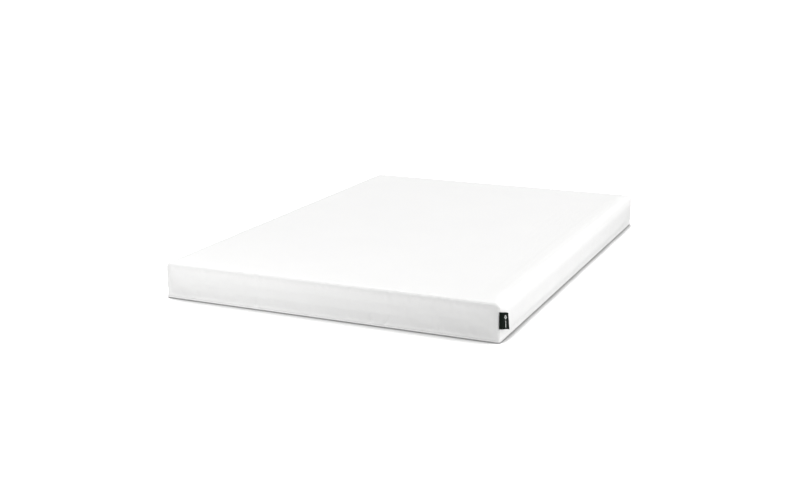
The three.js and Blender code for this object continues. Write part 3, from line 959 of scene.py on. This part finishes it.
def add_side_label():
    """A black woven label, folded once and sewn into the foot seam by both ends."""
    out = np.concatenate([np.linspace(0, LABEL_SPAN, 54), np.full(7, LABEL_SPAN)])
    way = np.concatenate([np.zeros(54), np.linspace(0, math.pi / 2, 8)[1:]])
    u = np.concatenate([out, out[::-1][1:]])
    fold = np.concatenate([way, (math.pi - way[::-1])[1:]])
    v = np.linspace(0, 1, 61)
    vv, uu = grid(v, u)
    ff = np.broadcast_to(fold, uu.shape)
    points, normals = label_line(uu, vv)
    past, _ = label_line(uu + 1 * MM, vv)
    ahead = unit(past - points)
    gap = LABEL_HALF_GAP * (0.55 + 0.45 * np.minimum(1, uu / (20 * MM)))
    shape = np.cos(ff)[..., None] * normals + np.sin(ff)[..., None] * ahead
    points[..., 2] += 0.12 * MM * ripple(uu, WAVES[:3], 51) * np.abs(2 * vv - 1) ** 6
    outer = points + shape * gap[..., None]
    inner = points + shape * (gap - LABEL_T)[..., None]
    lengths = xyz(uu, vv * 60 * MM, uu * 0)
    label = shell("side_label_woven", outer, inner, lengths)
    place(label, label_weave, ["side_label"])
    add_label_mark()


def add_label_mark():
    """A plain lozenge over a plain bar, in rows of pale thread on the label's outer face."""
    height = LABEL_HIGH[2] - LABEL_LOW[2]
    middle = 29 * MM
    centre = height - 18 * MM
    tall = 9 * MM
    rows = []
    for z in np.arange(centre - tall, centre + tall, 0.42 * MM):
        off = abs(z - centre)
        wide = 9 * MM * (1 - off / tall)
        if wide > 0.4 * MM:
            hollow = 3.2 * MM * (1 - off / (3.6 * MM))
            spans = [(-wide, wide)] if hollow <= 0.3 * MM else [(-wide, -hollow), (hollow, wide)]
            rows += [(z, a, b) for a, b in spans]
    rows += [(z, -1.7 * MM, 1.7 * MM) for z in np.arange(7 * MM, centre - tall - 4 * MM, 0.42 * MM)]
    made = []
    for z, a, b in rows:
        u = middle + np.linspace(a, b, 7)
        points, normals = label_line(u, np.full_like(u, z / height))
        lifted = np.sin(np.linspace(0, math.pi, 7)) * 0.16 * MM
        made.append(tube(points + normals * (LABEL_HALF_GAP + lifted)[:, None], 0.2 * MM))
    mark = new_object("side_label_mark", *joined(made))
    return place(mark, mark_thread)


def add_care_label():
    """A blank white satin label beside the zip, sewn down one edge and curling a little."""
    low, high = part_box("care_label")
    u = np.linspace(0, high[0] - low[0], 37)
    z = np.linspace(low[2], high[2], 41)
    zz, uu = grid(z, u)
    share = uu / uu.max()
    rise = 0.5 * MM + 1.9 * MM * share ** 2 * (0.7 + 0.3 * np.cos(7 * (zz - low[2]) / 0.064))
    sag = 1.2 * MM * share ** 2
    lift = settled(xyz(low[0] + uu, np.full_like(uu, HALF_L), zz))[..., 1]
    outer = xyz(low[0] + uu, np.maximum(lift, HALF_L) + 1.6 * MM + rise, zz - sag)
    outer, uu, zz = outer[:, ::-1], uu[:, ::-1], zz[:, ::-1]
    inner = outer - [0, 0.3 * MM, 0]
    label = shell("care_label_satin", outer, inner, xyz(uu, zz, uu * 0))
    place(label, care_satin, ["care_label"])
    edge = np.linspace(low[2] + 3 * MM, high[2] - 3 * MM, 20)
    path, ways = straight(low[0] + 2.2 * MM, HALF_L + 2.2 * MM, edge)
    sew("care_label_stitches", path, ways, (), 3 * MM, RUNNING, 0.2 * MM, seed=6)


# ---- the zip

COIL_PITCH = 1.3 * MM
COIL_WIRE = 0.31 * MM
ZIP_SIDES = {"upper": 1.0, "lower": -1.0}


def add_tape(row, side):
    """One woven tape, with a corded edge beside the coil."""
    low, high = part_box(f"zip_tape_{row}")
    wide = high[2] - low[2]
    x = low[0] + graded(high[0] - low[0], 1.5 * MM, 7 * MM)
    across = graded(wide, 0.5 * MM, 1.6 * MM)
    aa, xx = grid(across, x)
    closed = ramp(np.abs(xx), SLOT_HALF_X - 1 * MM, SLOT_HALF_X + 2 * MM)
    z = ZIP_Z + side * (0.6 * MM - 0.5 * MM * closed + aa)
    cord = 0.12 * MM * np.cos(2 * math.pi * aa / wide * 3)
    loose = 0.25 * MM * ripple(xx, LONG_WAVES, 61) * ramp(aa, 0.5 * wide, wide)
    y = np.full_like(z, high[1]) - 0.12 * MM + np.minimum(cord, 0) + loose.clip(-1, 0)
    outer = xyz(xx, y, z)
    lengths = xyz(xx, aa, aa * 0)
    if side > 0:
        outer, lengths = outer[:, ::-1], lengths[:, ::-1]
    tape = shell(f"zip_tape_{row}_woven", outer, outer - [0, 0.55 * MM, 0], lengths)
    place(tape, tape_weave, [f"zip_tape_{row}"])


def add_coil(row, side):
    """One row's nylon wire, wound in flattened turns, with the sewing that holds it down."""
    low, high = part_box(f"zip_coil_{row}")
    turns = int((high[0] - low[0] - 2 * COIL_WIRE) / COIL_PITCH)
    angle = 2 * math.pi * np.arange(turns * 10 + 1) / 10
    start = (low[0] + high[0] - turns * COIL_PITCH) / 2
    x = start + COIL_PITCH * (angle / (2 * math.pi) + (0.5 if side > 0 else 0.0) - 0.25)

    def squared(w, power):
        return np.sign(w) * np.abs(w) ** power

    deep = (high[1] - low[1]) / 2 - COIL_WIRE
    reach = high[2] - ZIP_Z if side > 0 else ZIP_Z - low[2]
    middle = (reach + 0.38 * MM) / 2
    half = (reach - 0.38 * MM) / 2 - COIL_WIRE
    y = (low[1] + high[1]) / 2 + deep * squared(np.cos(angle), 0.75)
    z = ZIP_Z + side * (middle + half * squared(np.sin(angle), 0.85))
    coil = new_object(f"zip_coil_{row}_wire", *tube(xyz(x, y, z), COIL_WIRE))
    place(coil, coil_nylon, [f"zip_coil_{row}"])

    x = np.linspace(low[0], high[0], 60)
    line = ZIP_Z + side * 2.35 * MM
    path, ways = straight(x, high[1] - 0.02 * MM, line)
    short = [(a * 0.9, b, c * 0.5) for a, b, c in RUNNING]
    sew(f"zip_coil_{row}_sewing", path, ways, (), 2.6 * MM, short, 0.14 * MM, seed=7)


def add_topstitch(row):
    """The line of stitches that holds a tape to the cloth beside it."""
    low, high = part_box(f"zip_stitch_{row}")
    x = np.linspace(low[0], high[0], 200)
    path, ways = straight(x, HALF_L - 0.1 * MM, (low[2] + high[2]) / 2)
    sew(f"zip_topstitch_{row}", path, ways, [f"zip_stitch_{row}"], 3.2 * MM, RUNNING, seed=8)


def finish_metal(node, width=0.28 * MM):
    """A CAD casting keeps its shape, and gets soft edges and its plating."""
    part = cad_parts[node]
    bevel = part.modifiers.new("soft_edges", "BEVEL")
    bevel.width = width
    bevel.segments = 3
    bevel.limit_method = "ANGLE"
    bevel.angle_limit = math.radians(35)
    for slot in part.material_slots:
        slot.material = zip_nickel


def add_zip():
    for row, side in ZIP_SIDES.items():
        add_tape(row, side)
        add_coil(row, side)
        add_topstitch(row)
        finish_metal(f"zip_top_stop_{row}")
    finish_metal("zip_bottom_stop", 0.15 * MM)
    finish_metal("zip_slider")
    finish_metal("zip_pull_tab", 0.2 * MM)


# ---- inside the cover

def add_foam(node, name, material, low_z, high_z, seed):
    """A foam layer, cut with a slightly wandering blade."""
    low, high = corners(node)
    plain, quads = lattice(low, high, 5 * MM, 24 * MM)
    side = TOP_R * 0.75
    points, normals = rounded(
        plain, low, high, np.array([side, 6 * MM, low_z]), np.array([side, 6 * MM, high_z])
    )
    cut = ripple(points[:, 0] + 0.7 * points[:, 1], LONG_WAVES, seed) * 0.15 * MM
    cut += ripple(points[:, 1] - 0.4 * points[:, 0], LONG_WAVES, seed + 1) * 0.1 * MM
    points -= normals * (0.3 * MM + cut)[:, None]
    block = new_object(name, points, quads)
    place(block, material, [node])


def add_sock():
    """The fire sock: one ribbed tube, open at the head end, and the flap that closes it."""
    low, high = corners("fire_sock")
    plain, quads = lattice(low, high, 5 * MM, 22 * MM)
    radii = np.array([TOP_R * 0.8, 6.4 * MM, 14 * MM])
    points, normals = rounded(plain, low, high, radii, radii)
    mouth_low, mouth_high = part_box("fire_sock_end_flap")
    at_head = plain[quads, 1].min(1) > high[1] - 1 * MM
    centre = plain[quads].mean(1)
    across, up = np.abs(centre[:, 0]), centre[:, 2]
    within = (across < mouth_high[0]) & (up > mouth_low[2]) & (up < mouth_high[2])
    quads = quads[~(at_head & within)]
    used, quads = np.unique(quads, return_inverse=True)
    quads = quads.reshape(-1, 4)
    points, normals = points[used], normals[used]
    lengths = xyz(points[:, 0] + points[:, 2], points[:, 1], points[:, 0] * 0 + 1.0)
    sock = thickened("fire_sock_knit", points, quads, normals, 1.0 * MM, lengths)
    place(sock, sock_knit, ["fire_sock"])
    wide, long, tall = high - low
    area = 2 * (wide * long + long * tall + wide * tall)
    size = (2 * (wide + tall), long + tall)
    area = min(area, size[0] * size[1])

    x = np.linspace(mouth_low[0], mouth_high[0], 260)
    z = np.linspace(mouth_low[2], mouth_high[2], 25)
    zz, xx = grid(z, x)
    to_thread = np.abs(zz - (mouth_low[2] + mouth_high[2]) / 2)
    gather = 0.25 * MM * (1 + ripple(xx, WAVES, 71)) * fade(to_thread, 14 * MM)
    y = mouth_high[1] - gather
    outer = xyz(xx, y, zz)[:, ::-1]
    lengths = xyz(xx, zz, xx * 0 + 1.0)[:, ::-1]
    flap = shell("fire_sock_flap_knit", outer, outer - [0, 0.7 * MM, 0], lengths)
    place(flap, sock_knit, ["fire_sock_end_flap"])

    low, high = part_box("fire_sock_closure_thread")
    x = np.linspace(low[0], high[0], 100)
    path, ways = straight(x, low[1] - 0.1 * MM, (low[2] + high[2]) / 2)
    nodes = ["fire_sock_closure_thread"]
    sew("fire_sock_closure_stitches", path, ways, nodes, 4.4 * MM, RUNNING, 0.22 * MM, seed=9)


def add_core():
    name = "memory_foam_block"
    add_foam("memory_foam_layer", name, memory_foam, 0.8 * MM, 19 * MM, 81)
    name = "support_foam_block"
    add_foam("support_foam_layer", name, support_foam, 11 * MM, 0.8 * MM, 91)
    add_sock()


add_core()
add_wrap()
add_ends()
add_base()
add_seams()
add_side_label()
add_care_label()
add_zip()


# ---- stage, light and camera

FLOOR_REACH = 80.0
# The floor's painted shadow: how far its ambient occlusion reaches in front of the foot and beside the
# mattress, its samples, the occlusion where it starts and its darkest tone
PAINTED_SHADOW_REACH = {"at_foot": 200 * MM, "beside": 66 * MM}
PAINTED_SHADOW_SAMPLES = 24
PAINTED_SHADOW_FROM = 0.45
PAINTED_SHADOW_TONE = 0.4
FLOOR_TONE = 2.2
BELOW_HORIZON = 0.15
ABOVE_HORIZON = 1.03


def add_stage():
    """A floor that shows pure white, with a painted shadow: ambient occlusion darkens its colour only in
    the narrow gap along the mattress, reaching further in front of the foot than beside it.
    """
    mesh = bpy.data.meshes.new("floor")
    sides = ((-1, -1), (1, -1), (1, 1), (-1, 1))
    mesh.from_pydata([(x * FLOOR_REACH, y * FLOOR_REACH, 0) for x, y in sides], [], [(0, 1, 2, 3)])
    floor = linked("floor", mesh)
    nodes, where = new_nodes("floor_with_painted_shadow")
    y = nodes.split(where)["Y"]
    behind_foot = nodes.ranged(Value=y, From_Min=-HALF_L - 15 * MM, From_Max=30 * MM - HALF_L)
    # Painted shadow: ambient occlusion darkens the floor's colour near the mattress, in place of a cast
    # shadow
    painted_shadows = []
    for reach in PAINTED_SHADOW_REACH.values():
        gap = nodes.make("AmbientOcclusion", {"Distance": reach}, samples=PAINTED_SHADOW_SAMPLES)
        painted_shadows.append(gap.outputs["AO"])
    near = nodes.mix(behind_foot, *painted_shadows, kind="FLOAT")
    tone = nodes.ranged(Value=near, From_Min=PAINTED_SHADOW_FROM, To_Min=PAINTED_SHADOW_TONE, To_Max=FLOOR_TONE)
    mesh.materials.append(nodes.shown("BsdfDiffuse", {"Color": tone}))
    floor.visible_diffuse = False
    floor.visible_glossy = False


def add_world():
    """White all round, and dimmer below the horizon, where a grey floor would be."""
    world = bpy.data.worlds.new("studio")
    scene.world = world
    nodes = Nodes(world)
    up = nodes.split(nodes.make("TexCoord").outputs["Generated"])["Z"]
    level = nodes.ranged(
        Value=up, From_Min=-0.25, From_Max=-0.02, To_Min=BELOW_HORIZON, To_Max=ABOVE_HORIZON
    )
    nodes.shown("Background", {"Strength": level, "Color": (1, 1, 1, 1)}, "OutputWorld")


def add_area(name, place_at, look_at, size, power):
    light = bpy.data.lights.new(name, "AREA")
    light.shape = "RECTANGLE"
    light.size, light.size_y = size
    light.energy = power
    made = linked(name, light)
    made.location = place_at
    way = Vector(look_at) - Vector(place_at)
    made.rotation_euler = way.to_track_quat("-Z", "Y").to_euler()


def add_camera():
    camera = bpy.data.cameras.new("camera")
    camera.lens = 53.04
    camera.sensor_width = 36.0
    camera.clip_start = 0.01
    made = linked("camera", camera)
    made.location = (1.964, -4.746, 1.369)
    made.rotation_euler = (math.radians(75.4), 0, math.radians(23.76))
    scene.camera = made


# For each light: where it is, what it faces, its size and its power
LIGHTS = {
    "key": ((4.2, -0.8, 0.45), (0.7, -0.1, 0.08), (2.0, 0.7), 62),
    "fill": ((-0.6, -2.4, 0.4), (-0.35, -1.0, 0.08), (0.8, 0.5), 9.8),
}

add_stage()
add_world()
for light_name, facts in LIGHTS.items():
    add_area(light_name, *facts)
add_camera()

scene.view_settings.view_transform = "Standard"
scene.view_settings.look = "None"
